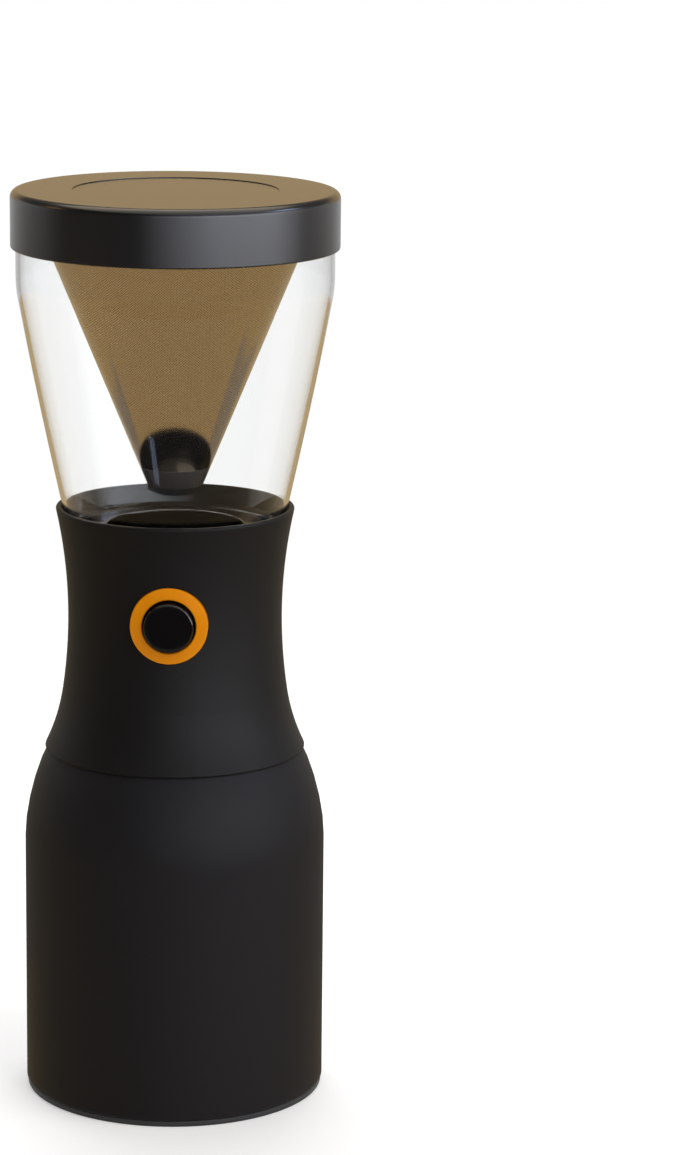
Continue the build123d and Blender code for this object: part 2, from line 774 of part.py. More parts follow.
with BuildPart() as filter_rim:
    ring_in_r = cone_band_r + seat_gap
    skirt_r = vessel_in_r - running_gap
    turn_ring(ring_in_r, filter_flange_r, filter_flange_low_z, filter_flange_z)
    turn_ring(ring_in_r, ring_in_r + filter_ring_wall, cone_band_z, filter_flange_low_z)
    skirt_low_z = filter_flange_low_z - filter_skirt_h
    turn_ring(skirt_r - filter_skirt_wall, skirt_r, skirt_low_z, filter_flange_low_z)
filter_rim.part.label = "filter_rim"
export_step(filter_rim.part, "parts/filter_rim.step")

with BuildPart() as filter_seal:
    turn_ring(vessel_in_r + running_gap, filter_flange_r, vessel_z, filter_flange_low_z)
filter_seal.part.label = "filter_seal"
export_step(filter_seal.part, "parts/filter_seal.step")

# ---------------- Lid ----------------

with BuildPart() as lid_cap:
    turn_ring(0, lid_r, lid_low_z, lid_z)
    fillet(lid_cap.edges().filter_by(GeomType.CIRCLE).group_by(Axis.Z)[-1], lid_round)
    fillet(lid_cap.edges().filter_by(GeomType.CIRCLE).group_by(Axis.Z)[0], lid_hem_round)
    with BuildSketch(Plane.XY.offset(lid_low_z)):
        Circle(lid_in_r)
    extrude(amount=lid_ceiling_z - lid_low_z, mode=Mode.SUBTRACT)
    with BuildSketch(Plane.XY.offset(lid_z)):
        Circle(inlay_r)
    extrude(amount=-inlay_depth - inlay_thick, mode=Mode.SUBTRACT)
lid_cap.part.label = "lid_cap"
export_step(lid_cap.part, "parts/lid_cap.step")

with BuildPart() as lid_inlay:
    turn_ring(0, inlay_r - inlay_gap, lid_z - inlay_depth - inlay_thick, lid_z - inlay_depth)
    fillet(lid_inlay.edges().filter_by(GeomType.CIRCLE).group_by(Axis.Z)[-1], inlay_round)
lid_inlay.part.label = "lid_inlay"
export_step(lid_inlay.part, "parts/lid_inlay.step")

with BuildPart() as lid_liner:
    turn_ring(0, lid_in_r - seat_gap, lid_ceiling_z - liner_disc_thick, lid_ceiling_z)
    turn_ring(lid_seal_in_r, filter_flange_r, lid_seal_z, lid_ceiling_z - liner_disc_thick)
lid_liner.part.label = "lid_liner"
export_step(lid_liner.part, "parts/lid_liner.step")

with BuildPart() as lid_seal:
    turn_ring(lid_seal_in_r, filter_flange_r, filter_flange_z, lid_seal_z)
lid_seal.part.label = "lid_seal"
export_step(lid_seal.part, "parts/lid_seal.step")
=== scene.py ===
import json
import math

import bmesh
import bpy
from mathutils import Matrix, Vector

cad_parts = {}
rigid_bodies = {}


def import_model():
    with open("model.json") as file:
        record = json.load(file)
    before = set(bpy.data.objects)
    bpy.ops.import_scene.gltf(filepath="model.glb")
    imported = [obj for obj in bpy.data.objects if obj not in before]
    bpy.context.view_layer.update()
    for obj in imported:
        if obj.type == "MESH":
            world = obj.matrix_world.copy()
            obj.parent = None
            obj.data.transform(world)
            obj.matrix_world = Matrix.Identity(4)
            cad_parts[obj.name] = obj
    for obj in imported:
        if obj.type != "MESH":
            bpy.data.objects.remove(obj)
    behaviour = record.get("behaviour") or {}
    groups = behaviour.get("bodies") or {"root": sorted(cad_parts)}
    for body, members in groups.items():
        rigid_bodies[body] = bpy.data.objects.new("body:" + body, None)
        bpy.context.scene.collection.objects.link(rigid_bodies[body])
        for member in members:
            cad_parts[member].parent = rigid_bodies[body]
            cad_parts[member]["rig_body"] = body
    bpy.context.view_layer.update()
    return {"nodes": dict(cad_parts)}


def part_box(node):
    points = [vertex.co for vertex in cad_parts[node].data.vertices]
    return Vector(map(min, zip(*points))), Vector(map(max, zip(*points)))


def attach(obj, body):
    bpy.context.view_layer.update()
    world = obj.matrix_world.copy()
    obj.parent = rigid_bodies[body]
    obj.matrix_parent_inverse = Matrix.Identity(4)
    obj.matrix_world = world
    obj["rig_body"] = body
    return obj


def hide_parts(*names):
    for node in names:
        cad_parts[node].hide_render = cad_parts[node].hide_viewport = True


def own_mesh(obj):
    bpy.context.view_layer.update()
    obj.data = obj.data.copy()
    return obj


# Cold brew coffee maker: lid, clear vessel and cone filter over a waisted collar, on a vacuum carafe.
# Outlines are (radius, height, rounding) in millimetres and are spun round the upright axis.

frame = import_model()
mm = 0.001
print("frame loaded:", len(frame["nodes"]), "nodes")


# Small helpers

def hexColour(text):
    # sRGB hex to the linear colour that the nodes want
    parts = [int(text[i:i + 2], 16) / 255 for i in (0, 2, 4)]
    linear = [c / 12.92 if c <= 0.04045 else ((c + 0.055) / 1.055) ** 2.4 for c in parts]
    return (*linear, 1.0)


def addNode(tree, kind, inputs=None, **settings):
    # One node with its settings; an input given as a socket is linked
    node = tree.nodes.new(kind)
    for name, value in settings.items():
        setattr(node, name, value)
    for name, value in (inputs or {}).items():
        if isinstance(value, bpy.types.NodeSocket):
            tree.links.new(value, node.inputs[name])
        else:
            node.inputs[name].default_value = value
    return node


def newMaterial(name, values):
    material = bpy.data.materials.new(name)
    material.use_nodes = True
    shader = material.node_tree.nodes["Principled BSDF"]
    for key, value in values.items():
        shader.inputs[key].default_value = value
    return material, material.node_tree, shader


def perMetre(size):
    # Noise scale for a pattern whose grains are size millimetres apart
    return 1000 / size


def reachOf(node):
    # Radius, lowest and highest point of a turned node, in millimetres
    low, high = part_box(node)
    return high.x / mm, low.z / mm, high.z / mm


def depthOf(node):
    # Radius, front and back of a node that is turned about the button's axis
    low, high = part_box(node)
    return high.x / mm, low.y / mm, high.y / mm


# Materials; every size in their dictionaries is in millimetres
# Powder-coated steel: a fine orange-peel grain over sheet metal, dull and a little warm
def makePowderCoat():
    coat = {"colour": "1b1a1c", "grain": 0.55, "grainHeight": 0.03, "patch": 45,
            "roughLow": 0.48, "roughHigh": 0.56}
    material, tree, shader = newMaterial("powderCoatedSteel", {
        "Base Color": hexColour(coat["colour"]), "Specular IOR Level": 0.145})
    place = addNode(tree, "ShaderNodeTexCoord").outputs["Object"]
    grain = addNode(tree, "ShaderNodeTexNoise", {
        "Vector": place, "Scale": perMetre(coat["grain"]), "Detail": 3.0, "Roughness": 0.6})
    bump = addNode(tree, "ShaderNodeBump", {
        "Height": grain.outputs["Fac"], "Strength": 0.25, "Distance": coat["grainHeight"] * mm})
    patch = addNode(tree, "ShaderNodeTexNoise", {"Vector": place, "Scale": perMetre(coat["patch"])})
    rough = addNode(tree, "ShaderNodeMapRange", {
        "Value": patch.outputs["Fac"], "To Min": coat["roughLow"], "To Max": coat["roughHigh"]})
    tree.links.new(rough.outputs["Result"], shader.inputs["Roughness"])
    tree.links.new(bump.outputs["Normal"], shader.inputs["Normal"])
    return material


# Soft-touch paint over moulded ABS: rubbery, so highlights spread wide and stay weak
def makeSoftTouch():
    paint = {"colour": "151414", "grain": 0.3, "grainHeight": 0.015, "patch": 30,
             "roughLow": 0.46, "roughHigh": 0.54}
    material, tree, shader = newMaterial("softTouchPaint", {
        "Base Color": hexColour(paint["colour"]), "Specular IOR Level": 0.16})
    place = addNode(tree, "ShaderNodeTexCoord").outputs["Object"]
    grain = addNode(tree, "ShaderNodeTexNoise", {
        "Vector": place, "Scale": perMetre(paint["grain"]), "Detail": 2.0})
    bump = addNode(tree, "ShaderNodeBump", {
        "Height": grain.outputs["Fac"], "Strength": 0.2, "Distance": paint["grainHeight"] * mm})
    patch = addNode(tree, "ShaderNodeTexNoise", {"Vector": place, "Scale": perMetre(paint["patch"])})
    rough = addNode(tree, "ShaderNodeMapRange", {
        "Value": patch.outputs["Fac"], "To Min": paint["roughLow"], "To Max": paint["roughHigh"]})
    tree.links.new(rough.outputs["Result"], shader.inputs["Roughness"])
    tree.links.new(bump.outputs["Normal"], shader.inputs["Normal"])
    return material


# Satin ABS from a spark-eroded mould: a tight even grain that still mirrors the lamps softly
def makeSatinAbs():
    satin = {"colour": "1a1818", "grain": 0.35, "grainHeight": 0.008, "roughLow": 0.22, "roughHigh": 0.27}
    material, tree, shader = newMaterial("satinMouldedAbs", {
        "Base Color": hexColour(satin["colour"]), "IOR": 1.53})
    place = addNode(tree, "ShaderNodeTexCoord").outputs["Object"]
    grain = addNode(tree, "ShaderNodeTexNoise", {
        "Vector": place, "Scale": perMetre(satin["grain"]), "Detail": 2.0})
    bump = addNode(tree, "ShaderNodeBump", {
        "Height": grain.outputs["Fac"], "Strength": 0.3, "Distance": satin["grainHeight"] * mm})
    rough = addNode(tree, "ShaderNodeMapRange", {
        "Value": grain.outputs["Fac"], "To Min": satin["roughLow"], "To Max": satin["roughHigh"]})
    tree.links.new(rough.outputs["Result"], shader.inputs["Roughness"])
    tree.links.new(bump.outputs["Normal"], shader.inputs["Normal"])
    return material


# Injection-moulded black polypropylene: smooth, with the faint flow waves of moulding
def makeMouldedPlastic():
    plastic = {"colour": "0f0e0e", "wave": 14, "waveHeight": 0.02, "roughLow": 0.10, "roughHigh": 0.18}
    material, tree, shader = newMaterial("mouldedPolypropylene", {
        "Base Color": hexColour(plastic["colour"]), "IOR": 1.49})
    place = addNode(tree, "ShaderNodeTexCoord").outputs["Object"]
    wave = addNode(tree, "ShaderNodeTexNoise", {
        "Vector": place, "Scale": perMetre(plastic["wave"]), "Detail": 1.0})
    bump = addNode(tree, "ShaderNodeBump", {
        "Height": wave.outputs["Fac"], "Strength": 0.4, "Distance": plastic["waveHeight"] * mm})
    rough = addNode(tree, "ShaderNodeMapRange", {
        "Value": wave.outputs["Fac"], "To Min": plastic["roughLow"], "To Max": plastic["roughHigh"]})
    tree.links.new(rough.outputs["Result"], shader.inputs["Roughness"])
    tree.links.new(bump.outputs["Normal"], shader.inputs["Normal"])
    return material


# Polished dark ABS of the push button and the cone's cap: nearly a mirror
def makeGlossPlastic(name, colour):
    gloss = {"wave": 9, "waveHeight": 0.01, "roughLow": 0.05, "roughHigh": 0.1}
    material, tree, shader = newMaterial(name, {
        "Base Color": hexColour(colour), "IOR": 1.5})
    place = addNode(tree, "ShaderNodeTexCoord").outputs["Object"]
    wave = addNode(tree, "ShaderNodeTexNoise", {"Vector": place, "Scale": perMetre(gloss["wave"])})
    bump = addNode(tree, "ShaderNodeBump", {
        "Height": wave.outputs["Fac"], "Strength": 0.3, "Distance": gloss["waveHeight"] * mm})
    rough = addNode(tree, "ShaderNodeMapRange", {
        "Value": wave.outputs["Fac"], "To Min": gloss["roughLow"], "To Max": gloss["roughHigh"]})
    tree.links.new(rough.outputs["Result"], shader.inputs["Roughness"])
    tree.links.new(bump.outputs["Normal"], shader.inputs["Normal"])
    return material


# Orange ABS, satin: saturated all through, with a fine mould grain
def makeOrangeAbs():
    orange = {"darker": "ea8a02", "lighter": "f29504", "grain": 0.3, "grainHeight": 0.01, "patch": 6}
    material, tree, shader = newMaterial("satinOrangeAbs", {
        "Roughness": 0.3, "Specular IOR Level": 0.12})
    place = addNode(tree, "ShaderNodeTexCoord").outputs["Object"]
    patch = addNode(tree, "ShaderNodeTexNoise", {"Vector": place, "Scale": perMetre(orange["patch"])})
    tint = addNode(tree, "ShaderNodeMix", {
        0: patch.outputs["Fac"], 6: hexColour(orange["darker"]), 7: hexColour(orange["lighter"])},
        data_type="RGBA")
    grain = addNode(tree, "ShaderNodeTexNoise", {"Vector": place, "Scale": perMetre(orange["grain"])})
    bump = addNode(tree, "ShaderNodeBump", {
        "Height": grain.outputs["Fac"], "Strength": 0.25, "Distance": orange["grainHeight"] * mm})
    tree.links.new(tint.outputs[2], shader.inputs["Base Color"])
    tree.links.new(bump.outputs["Normal"], shader.inputs["Normal"])
    return material


# Moulded silicone: matt, soft and slightly milky, with a light bloom of dust
def makeSilicone():
    rubber = {"darker": "2a2a2b", "lighter": "353536", "bloom": 8, "grain": 0.4, "grainHeight": 0.02,
              "roughLow": 0.5, "roughHigh": 0.66}
    material, tree, shader = newMaterial("mouldedSilicone", {
        "IOR": 1.41, "Subsurface Weight": 0.05, "Subsurface Scale": 0.001})
    place = addNode(tree, "ShaderNodeTexCoord").outputs["Object"]
    bloom = addNode(tree, "ShaderNodeTexNoise", {
        "Vector": place, "Scale": perMetre(rubber["bloom"]), "Detail": 4.0})
    tint = addNode(tree, "ShaderNodeMix", {
        0: bloom.outputs["Fac"], 6: hexColour(rubber["darker"]), 7: hexColour(rubber["lighter"])},
        data_type="RGBA")
    rough = addNode(tree, "ShaderNodeMapRange", {
        "Value": bloom.outputs["Fac"], "To Min": rubber["roughLow"], "To Max": rubber["roughHigh"]})
    grain = addNode(tree, "ShaderNodeTexNoise", {"Vector": place, "Scale": perMetre(rubber["grain"])})
    bump = addNode(tree, "ShaderNodeBump", {
        "Height": grain.outputs["Fac"], "Strength": 0.3, "Distance": rubber["grainHeight"] * mm})
    tree.links.new(tint.outputs[2], shader.inputs["Base Color"])
    tree.links.new(rough.outputs["Result"], shader.inputs["Roughness"])
    tree.links.new(bump.outputs["Normal"], shader.inputs["Normal"])
    return material


# Stainless steel, spun and brushed on a lathe: fine rings round the axis that smear reflections
def makeBrushedSteel():
    brush = {"colour": "c9c5be", "line": 0.35, "lineLength": 90, "lineDepth": 0.012,
             "roughLow": 0.22, "roughHigh": 0.34}
    material, tree, shader = newMaterial("brushedStainlessSteel", {
        "Base Color": hexColour(brush["colour"]), "Metallic": 1.0})
    place = addNode(tree, "ShaderNodeTexCoord").outputs["Object"]
    rings = addNode(tree, "ShaderNodeMapping", {
        "Vector": place,
        "Scale": (perMetre(brush["lineLength"]), perMetre(brush["lineLength"]), perMetre(brush["line"]))})
    lines = addNode(tree, "ShaderNodeTexNoise", {
        "Vector": rings.outputs["Vector"], "Scale": 1.0, "Detail": 4.0})
    rough = addNode(tree, "ShaderNodeMapRange", {
        "Value": lines.outputs["Fac"], "To Min": brush["roughLow"], "To Max": brush["roughHigh"]})
    bump = addNode(tree, "ShaderNodeBump", {
        "Height": lines.outputs["Fac"], "Strength": 0.4, "Distance": brush["lineDepth"] * mm})
    tree.links.new(rough.outputs["Result"], shader.inputs["Roughness"])
    tree.links.new(bump.outputs["Normal"], shader.inputs["Normal"])
    return material


# Drawn spring wire: bright, with faint die marks
def makeSpringWire():
    wire = {"colour": "cfcfd0", "mark": 0.6, "markHeight": 0.004, "roughLow": 0.12, "roughHigh": 0.24}
    material, tree, shader = newMaterial("drawnSpringWire", {
        "Base Color": hexColour(wire["colour"]), "Metallic": 1.0})
    place = addNode(tree, "ShaderNodeTexCoord").outputs["Object"]
    marks = addNode(tree, "ShaderNodeTexNoise", {
        "Vector": place, "Scale": perMetre(wire["mark"]), "Detail": 3.0})
    rough = addNode(tree, "ShaderNodeMapRange", {
        "Value": marks.outputs["Fac"], "To Min": wire["roughLow"], "To Max": wire["roughHigh"]})
    bump = addNode(tree, "ShaderNodeBump", {
        "Height": marks.outputs["Fac"], "Strength": 0.3, "Distance": wire["markHeight"] * mm})
    tree.links.new(rough.outputs["Result"], shader.inputs["Roughness"])
    tree.links.new(bump.outputs["Normal"], shader.inputs["Normal"])
    return material


# Clear copolyester: colourless and hard, with faint upright draw waves from the mould
def makeClearPlastic():
    clear = {"colour": "fcfdfd", "mirrorTint": "8c8c8c", "shadowTint": "f0f2f2",
             "wave": 16, "waveLength": 400, "waveHeight": 0.02}
    material, tree, shader = newMaterial("clearCopolyester", {
        "Base Color": hexColour(clear["colour"]), "Roughness": 0.01, "IOR": 1.54, "Transmission Weight": 1.0,
        "Specular Tint": hexColour(clear["mirrorTint"])})
    place = addNode(tree, "ShaderNodeTexCoord").outputs["Object"]
    flutes = addNode(tree, "ShaderNodeMapping", {
        "Vector": place,
        "Scale": (perMetre(clear["wave"]), perMetre(clear["wave"]), perMetre(clear["waveLength"]))})
    waves = addNode(tree, "ShaderNodeTexNoise", {
        "Vector": flutes.outputs["Vector"], "Scale": 1.0, "Detail": 1.0})
    bump = addNode(tree, "ShaderNodeBump", {
        "Height": waves.outputs["Fac"], "Strength": 0.5, "Distance": clear["waveHeight"] * mm})
    tree.links.new(bump.outputs["Normal"], shader.inputs["Normal"])
    # A shadow ray goes straight through, so that the wall throws a pale shadow
    path = addNode(tree, "ShaderNodeLightPath")
    through = addNode(tree, "ShaderNodeBsdfTransparent", {"Color": hexColour(clear["shadowTint"])})
    wall = addNode(tree, "ShaderNodeMixShader", {
        0: path.outputs["Is Shadow Ray"], 1: shader.outputs["BSDF"], 2: through.outputs["BSDF"]})
    tree.links.new(wall.outputs["Shader"], tree.nodes["Material Output"].inputs["Surface"])
    return material


# Perforated stainless steel, rolled from flat sheet; its straw-bronze colour is a painted reflection of the
# warm room that the steel mirrors.
# The real holes are about 0.2 mm across, too fine to show, so they are drawn larger and further apart.
def makePerforatedSteel():
    sheet = {"darker": "c9b9a2", "lighter": "d2c4ae", "hole": "7e6f5a", "pitch": 0.75, "holeRadius": 0.14,
             "holeEdge": 0.14, "dimple": 0.015, "grain": 0.4, "streak": 5,
             "roughLow": 0.06, "roughHigh": 0.12}
    material, tree, shader = newMaterial("perforatedSteel", {"Metallic": 1.0})
    flat = addNode(tree, "ShaderNodeUVMap", uv_map="sheet").outputs["UV"]
    turned = addNode(tree, "ShaderNodeMapping", {"Vector": flat, "Rotation": (0, 0, math.radians(45))})
    holes = addNode(tree, "ShaderNodeTexVoronoi", {
        "Vector": turned.outputs["Vector"], "Scale": 1 / sheet["pitch"], "Randomness": 0.0},
        voronoi_dimensions="2D")
    solid = addNode(tree, "ShaderNodeMapRange", {
        "Value": holes.outputs["Distance"],
        "From Min": sheet["holeRadius"] / sheet["pitch"],
        "From Max": (sheet["holeRadius"] + sheet["holeEdge"]) / sheet["pitch"]})
    grain = addNode(tree, "ShaderNodeTexNoise", {"Vector": flat, "Scale": 1 / sheet["grain"], "Detail": 2.0})
    streaks = addNode(tree, "ShaderNodeTexNoise", {
        "Vector": flat, "Scale": 1 / sheet["streak"], "Detail": 3.0})
    steel = addNode(tree, "ShaderNodeMix", {
        0: streaks.outputs["Fac"], 6: hexColour(sheet["darker"]), 7: hexColour(sheet["lighter"])},
        data_type="RGBA")
    colour = addNode(tree, "ShaderNodeMix", {
        0: solid.outputs["Result"], 6: hexColour(sheet["hole"]), 7: steel.outputs[2]}, data_type="RGBA")
    rough = addNode(tree, "ShaderNodeMapRange", {
        "Value": grain.outputs["Fac"], "To Min": sheet["roughLow"], "To Max": sheet["roughHigh"]})
    height = addNode(tree, "ShaderNodeMath", {
        0: solid.outputs["Result"], 1: grain.outputs["Fac"]}, operation="MULTIPLY")
    bump = addNode(tree, "ShaderNodeBump", {
        "Height": height.outputs["Value"], "Strength": 0.25, "Distance": sheet["dimple"] * mm})
    tree.links.new(colour.outputs[2], shader.inputs["Base Color"])
    tree.links.new(rough.outputs["Result"], shader.inputs["Roughness"])
    tree.links.new(bump.outputs["Normal"], shader.inputs["Normal"])
    return material


powderCoat = makePowderCoat()
softTouch = makeSoftTouch()
satinAbs = makeSatinAbs()
mouldedPlastic = makeMouldedPlastic()
glossBlack = makeGlossPlastic("polishedBlackAbs", "0d0b0c")
# The cone's cap is polished black like the button; its colour is lifted to a dark grey as a painted
# reflection of the room it mirrors
blackAbsPaintedReflection = makeGlossPlastic("polishedBlackAbsPaintedReflection", "3a3533")
orangeAbs = makeOrangeAbs()
silicone = makeSilicone()
brushedSteel = makeBrushedSteel()
springWire = makeSpringWire()
clearPlastic = makeClearPlastic()
perforatedSteel = makePerforatedSteel()
print("materials made:", len(bpy.data.materials))


# Turned pieces: an outline is drawn in the XZ plane and spun round the upright axis

turning = {"steps": 240, "arcStep": 7, "merge": 0.002, "sharpAngle": 33}


def drawOutline(corners, closed=True):
    # Corners in millimetres; a corner with a third value is rounded by that radius
    bm = bmesh.new()
    points = [bm.verts.new((corner[0] * mm, 0, corner[1] * mm)) for corner in corners]
    pairs = list(zip(points, points[1:]))
    if closed:
        pairs.append((points[-1], points[0]))
    for a, b in pairs:
        if a.co.x > 0 or b.co.x > 0:    # nothing is drawn along the axis itself
            bm.edges.new((a, b))
    for point, corner in zip(points, corners):
        if len(corner) < 3:
            continue
        a, b = [edge.other_vert(point).co - point.co for edge in point.link_edges]
        inside = a.angle(b)
        segments = max(3, math.ceil((180 - math.degrees(inside)) / turning["arcStep"]))
        bmesh.ops.bevel(bm, geom=[point], offset=corner[2] * mm / math.tan(inside / 2), offset_type="OFFSET",
                        segments=segments, profile=0.5, affect="VERTICES", material=-1)
    return bm


def spinOutline(bm):
    bmesh.ops.spin(bm, geom=bm.verts[:] + bm.edges[:], cent=(0, 0, 0), axis=(0, 0, 1), dvec=(0, 0, 0),
                   angle=math.tau, steps=turning["steps"], use_merge=True, use_duplicate=False)
    bmesh.ops.remove_doubles(bm, verts=bm.verts[:], dist=turning["merge"] * mm)
    bmesh.ops.recalc_face_normals(bm, faces=bm.faces[:])
    return bm


def layOnButtonAxis(bm):
    # Turns the upright axis back along +Y and lifts it to the button's height
    buttonHeight = sum(corner.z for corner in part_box("button_cap")) / 2
    lean = Matrix.Translation((0, 0, buttonHeight)) @ Matrix.Rotation(math.radians(-90), 4, "X")
    bmesh.ops.transform(bm, matrix=lean, verts=bm.verts[:])


def placePiece(bm, node, material):
    # The new piece stands for the node, on the node's body and with its finish
    words = node.split("_")
    name = words[0] + "".join(word.capitalize() for word in words[1:])
    mesh = bpy.data.meshes.new(name)
    bm.to_mesh(mesh)
    bm.free()
    mesh.shade_smooth()
    mesh.set_sharp_from_angle(angle=math.radians(turning["sharpAngle"]))
    mesh.materials.append(material)
    piece = bpy.data.objects.new(name, mesh)
    bpy.context.scene.collection.objects.link(piece)
    flats = piece.modifiers.new("keepFlatsFlat", "WEIGHTED_NORMAL")
    flats.keep_sharp = True
    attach(piece, frame["nodes"][node]["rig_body"])
    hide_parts(node)
    return piece


def dressNode(node, material):
    slots = frame["nodes"][node].data.materials
    slots.clear()
    slots.append(material)


# Carafe: pressed steel with two walls

carafe = {"wall": 0.8, "gap": 3.2, "baseRound": 1.0, "baseLap": 3.5, "shoulderLean": 28.6,
          "shoulderRound": 73, "throatRound": 38, "throatDrop": 10.9, "ledgeRound": 0.8, "rootRound": 1.0,
          "ledgeReach": 37.9, "neckReach": 33.5, "neckHeight": 8.4,
          "linerBaseRound": 9.2, "linerThroatRound": 18.8, "lipRound": 0.3}
carafeRadius, carafeLow, shellTop = reachOf("carafe_outer_shell")
carafeLip = reachOf("carafe_liner")[2]
ledgeHeight = carafeLip - carafe["neckHeight"]
shoulderHigh = ledgeHeight - carafe["throatDrop"]
shoulderTangent = math.tan(math.radians(carafe["shoulderLean"]))
shoulderLow = shoulderHigh - (carafeRadius - carafe["ledgeReach"]) / shoulderTangent

outerShell = spinOutline(drawOutline([
    (carafeRadius - carafe["baseLap"], carafeLow),
    (carafeRadius, carafeLow, carafe["baseRound"]),
    (carafeRadius, shoulderLow, carafe["shoulderRound"]),
    (carafe["ledgeReach"], shoulderHigh, carafe["throatRound"]),
    (carafe["ledgeReach"], ledgeHeight, carafe["ledgeRound"]),
    (carafe["neckReach"], ledgeHeight, carafe["rootRound"]),
    (carafe["neckReach"], shellTop),
], closed=False))
bmesh.ops.solidify(outerShell, geom=outerShell.faces[:], thickness=carafe["wall"] * mm)
placePiece(outerShell, "carafe_outer_shell", powderCoat)

linerInset = 2 * carafe["wall"] + carafe["gap"]
linerLean = linerInset * math.tan(math.radians(carafe["shoulderLean"] / 2))
mouthReach = carafe["neckReach"] - linerInset
linerNeckHeight = shoulderLow - linerLean + (carafeRadius - carafe["neckReach"]) / shoulderTangent
liner = spinOutline(drawOutline([
    (0, carafeLow + linerInset),
    (carafeRadius - linerInset, carafeLow + linerInset, carafe["linerBaseRound"]),
    (carafeRadius - linerInset, shoulderLow - linerLean, carafe["shoulderRound"] - linerInset),
    (mouthReach, linerNeckHeight, carafe["linerThroatRound"]),
    (mouthReach, carafeLip, carafe["lipRound"]),
    (carafe["neckReach"], carafeLip),
], closed=False))
bmesh.ops.solidify(liner, geom=liner.faces[:], thickness=-carafe["wall"] * mm)
placePiece(liner, "carafe_liner", brushedSteel)

# The foot pad's rim lies under the steel, and it has three moulded drain grooves underneath
pad = {"grooves": (16, 28, 40), "grooveWidth": 2.0, "grooveDepth": 0.5, "grooveRound": 0.2,
       "edgeRound": 0.5, "rimRound": 0.2, "plugReach": 52.7}
padRadius, padLow, padHigh = reachOf("carafe_foot_pad")
padOutline = [(0, padLow)]
for groove in pad["grooves"]:
    far = groove + pad["grooveWidth"]
    ceilingOfGroove = padLow + pad["grooveDepth"]
    padOutline += [(groove, padLow, pad["grooveRound"]), (groove, ceilingOfGroove, pad["grooveRound"]),
                   (far, ceilingOfGroove, pad["grooveRound"]), (far, padLow, pad["grooveRound"])]
padOutline += [(padRadius, padLow, pad["edgeRound"]), (padRadius, carafeLow, pad["rimRound"]),
               (pad["plugReach"], carafeLow), (pad["plugReach"], padHigh), (0, padHigh)]
placePiece(spinOutline(drawOutline(padOutline)), "carafe_foot_pad", silicone)
dressNode("carafe_base_plate", brushedSteel)
dressNode("carafe_getter", brushedSteel)
print("carafe built")


# Brewer: collar, housing, seals and clear vessel

dressNode("collar", softTouch)
for node in ("neck_socket", "valve_housing", "valve_seat", "button_guide"):
    dressNode(node, mouldedPlastic)
dressNode("housing_screws", brushedSteel)
dressNode("rod_seal", silicone)

# Flat silicone rings; each value is the ring's width
seals = {"neck_seal": 4.8, "vessel_seal": 5.0, "filter_seal": 0.9, "lid_seal": 6.4}
sealRound = 0.3
for node, width in seals.items():
    outer, low, high = reachOf(node)
    ring = spinOutline(drawOutline([
        (outer - width, low, sealRound), (outer, low, sealRound),
        (outer, high, sealRound), (outer - width, high, sealRound)]))
    placePiece(ring, node, silicone)

vesselSizes = {"wall": 1.5, "floor": 2.6, "holeReach": 31.0, "footReach": 39.47, "swell": 0.5,
               "bendHeight": 92.7, "bendRound": 40, "floorRound": 3.0, "footRound": 1.5, "lipRound": 0.5,
               "holeRound": 0.3, "steps": 6}
vesselRadius, vesselLow, vesselTop = reachOf("vessel")


def vesselWall(inset, low, cornerRound):
    # The wall leans out from its foot to the bend, with a slight swell halfway
    sizes = vesselSizes
    points = []
    for step in range(sizes["steps"] + 1):
        height = low + (vesselLow + sizes["bendHeight"] - low) * step / sizes["steps"]
        share = (height - vesselLow) / sizes["bendHeight"]
        reach = sizes["footReach"] + (vesselRadius - sizes["footReach"]) * share
        points.append((reach + 4 * sizes["swell"] * share * (1 - share) - inset, height))
    points[0] += (cornerRound,)
    points[-1] += (sizes["bendRound"] - inset,)
    return points + [(vesselRadius - inset, vesselTop, sizes["lipRound"])]


vesselFloor = vesselLow + vesselSizes["floor"]
vesselOutline = vesselWall(0, vesselLow, vesselSizes["footRound"])
vesselOutline += vesselWall(vesselSizes["wall"], vesselFloor, vesselSizes["floorRound"])[::-1]
vesselOutline += [(vesselSizes["holeReach"], vesselFloor, vesselSizes["holeRound"]),
                  (vesselSizes["holeReach"], vesselLow, vesselSizes["holeRound"])]
placePiece(spinOutline(drawOutline(vesselOutline)), "vessel", clearPlastic)

clamp = {"bore": 25.2, "spigotBore": 29.0, "spigotReach": 30.6, "flange": 1.7, "edgeRound": 0.6,
         "footRound": 0.3}
clampRadius, clampLow, clampTop = reachOf("clamp_ring")
clampUnder = clampTop - clamp["flange"]
placePiece(spinOutline(drawOutline([
    (clamp["bore"], clampUnder), (clamp["spigotBore"], clampUnder),
    (clamp["spigotBore"], clampLow, clamp["footRound"]),
    (clamp["spigotReach"], clampLow, clamp["footRound"]),
    (clamp["spigotReach"], clampUnder), (clampRadius, clampUnder),
    (clampRadius, clampTop, clamp["edgeRound"]), (clamp["bore"], clampTop, clamp["edgeRound"]),
])), "clamp_ring", mouldedPlastic)

# The orange ring round the button; here a corner is (radius, depth)
bezel = {"bore": 9.9, "edgeRound": 0.5, "boreRound": 0.45, "fall": 1.0}
bezelRadius, bezelFront, bezelBack = depthOf("button_bezel")
bezelRing = spinOutline(drawOutline([
    (bezel["bore"], bezelFront, bezel["boreRound"]),
    (bezelRadius, bezelFront + bezel["fall"], bezel["edgeRound"]),
    (bezelRadius, bezelBack), (bezel["bore"], bezelBack)]))
layOnButtonAxis(bezelRing)
placePiece(bezelRing, "button_bezel", orangeAbs)
print("brewer built")


# Push button and valve

